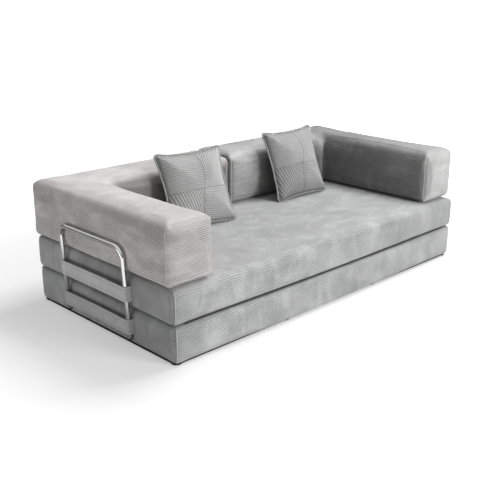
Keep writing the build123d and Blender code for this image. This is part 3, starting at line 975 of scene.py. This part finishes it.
# Hinge cloth in the groove between the fronts of the mattresses
def hinge_cloth():
    low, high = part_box("fold_hinge")
    half = high[0]
    columns, rows = 120, 8
    verts = []
    for depth in (0.0, 0.0016):
        for row in range(rows + 1):
            share = row / rows
            belly = math.sin(math.pi * share)
            for column in range(columns + 1):
                x = -half + 2 * half * column / columns
                bow = (high[1] - 0.002 - low[1]) * (x / half) ** 2
                soft = belly * (0.0003 * math.sin(x * 90) - 0.0011)
                y = low[1] + bow + 0.0012 + soft + depth
                verts.append(Vector((x, y, low[2] + (high[2] - low[2]) * share)))
    cloth = join_meshes("hinge_cloth", [(verts, sheet_faces(rows, columns))], "hinge")
    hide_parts("fold_hinge")
    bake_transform(cloth)


hinge_cloth()

# CAD nodes that stay as they are get their materials
for name, obj in nodes.items():
    if name.startswith("frame_caps") or name == "base_feet":
        dress(obj, "rubber")
    elif name.startswith("frame_"):
        dress(obj, "tube")
    elif name == "base_panel":
        dress(obj, "base")
    elif "_zip_slider" in name:
        dress(obj, "slider")
    elif "zip" in name:
        dress(obj, "tape")
    else:
        dress(obj, "band")


# Zip teeth, low bars across each mattress zip's raised chain
def zip_teeth(node_name, body, lift):
    """lift is how far the chain's outside is behind the middle of the zip's box."""
    low, high = (Vector(corner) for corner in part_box(node_name))
    centre = (low + high) / 2
    half_length, half_width = ZIP_TOOTH_LENGTH / 2, ZIP_TOOTH_WIDTH / 2
    parts = []
    for k in range(int((high.x - low.x) / ZIP_TOOTH_PITCH) - 1):
        root = Vector((low.x + (k + 1) * ZIP_TOOTH_PITCH, centre.y + lift, centre.z))
        verts = []
        for rise, shrink in ((-ZIP_TOOTH_HEIGHT, 1.0), (ZIP_TOOTH_HEIGHT, 0.82)):
            for a, b in ((-1, -1), (1, -1), (1, 1), (-1, 1)):
                verts.append(root + Vector((a * half_width * shrink, rise, b * half_length * shrink)))
        parts.append((verts, [(0, 3, 2, 1), (4, 5, 6, 7), (0, 1, 5, 4), (1, 2, 6, 5), (2, 3, 7, 6),
                              (3, 0, 4, 7)]))
    teeth = join_meshes(f"{node_name}_teeth", parts, "teeth")
    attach(teeth, body)


for layer, body in (("lower", "base"), ("upper", "upper_mattress")):
    low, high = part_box(f"{layer}_zip")
    zip_teeth(f"{layer}_zip", body, (high[1] - low[1]) / 2)


# Studio
DAYLIGHT = (0.112, 0.40)
REFLECTED = (0.15, 1.0)
FLOOR_GREY = 0.78
FLOOR_REACH = 60.0
# The floor turns white between these distances from the middle, from this strength on
WHITE_FROM, WHITE_TO, WHITE_START = 1.1, 3.2, 0.40
WHITE = (1, 1, 1, 1)


def lamp(name, place, target, size, power):
    data = bpy.data.lights.new(name, "AREA")
    data.shape = "RECTANGLE"
    data.size, data.size_y = size
    data.energy = power
    obj = bpy.data.objects.new(name, data)
    obj.location = place
    aim = Vector(target) - Vector(place)
    obj.rotation_euler = aim.to_track_quat("-Z", "Y").to_euler()
    scene.collection.objects.link(obj)


lamp("key", (1.5, -0.2, 3.6), (0.1, 0, 0.3), (2.0, 2.0), 105)
lamp("front", (1.6, -7.0, 2.4), (0.0, 0, 0.25), (2.4, 1.6), 235)
lamp("side", (-3.3, 0.1, 0.30), (-1.0, 0, 0.25), (2.4, 0.4), 9)

# The world is white to the camera; as a light it is dimmer at the left
world = bpy.data.worlds.new("studio")
scene.world = world
world.use_nodes = True
sky = Graph.of_tree(world.node_tree)
sky_rays = sky.add("ShaderNodeLightPath").outputs
east, north, above = sky.parts(sky.add("ShaderNodeTexCoord").outputs["Generated"])
rightward = sky.math("MULTIPLY_ADD", east, 0.7, sky.math("MULTIPLY", north, -0.45))
daylight = sky.spread(rightward, -0.8, 0.8, *DAYLIGHT)
# Shiny things reflect a studio that is bright above and dim at the horizon
reflected = sky.spread(above, 0.15, 0.60, *REFLECTED)
seen = sky.blend(sky_rays["Is Glossy Ray"], daylight, reflected)
straight = sky.math("MAXIMUM", sky_rays["Is Camera Ray"], sky_rays["Is Transmission Ray"])
background = sky.add("ShaderNodeBackground")
background.inputs["Color"].default_value = WHITE
sky.link(sky.blend(straight, seen, 1.0), background.inputs["Strength"])
sky.link(background.outputs[0], sky.add("ShaderNodeOutputWorld").inputs["Surface"])

studio = Graph("studio_floor")
floor_rays = studio.add("ShaderNodeLightPath").outputs
spot = studio.place()
away = studio.add("ShaderNodeVectorMath", operation="LENGTH")
studio.link(spot, away.inputs[0])
whiten = studio.spread(away.outputs["Value"], WHITE_FROM, WHITE_TO, WHITE_START, 1.0)
whiten = studio.math("MULTIPLY", whiten, floor_rays["Is Camera Ray"])
# A strip of the floor glows for reflected rays only: a painted reflection, bright in the tubes from
# the left front
east, north, _ = studio.parts(spot)
ahead = studio.math("MULTIPLY", studio.math("ADD", east, north), -0.7071)
glint = studio.math("MULTIPLY", studio.spread(ahead, 1.15, 1.5), floor_rays["Is Glossy Ray"])
studio.set(Base_Color=grey(FLOOR_GREY), Roughness=0.9, Specular_IOR_Level=0.0,
           Emission_Color=WHITE, Emission_Strength=studio.math("ADD", glint, whiten))
floor_mesh = bpy.data.meshes.new("studio_floor")
floor_mesh.from_pydata([(a * FLOOR_REACH, b * FLOOR_REACH, 0)
                        for a, b in ((-1, -1), (1, -1), (1, 1), (-1, 1))], [], [(0, 1, 2, 3)])
floor_mesh.materials.append(studio.material)
floor = bpy.data.objects.new("studio_floor", floor_mesh)
scene.collection.objects.link(floor)
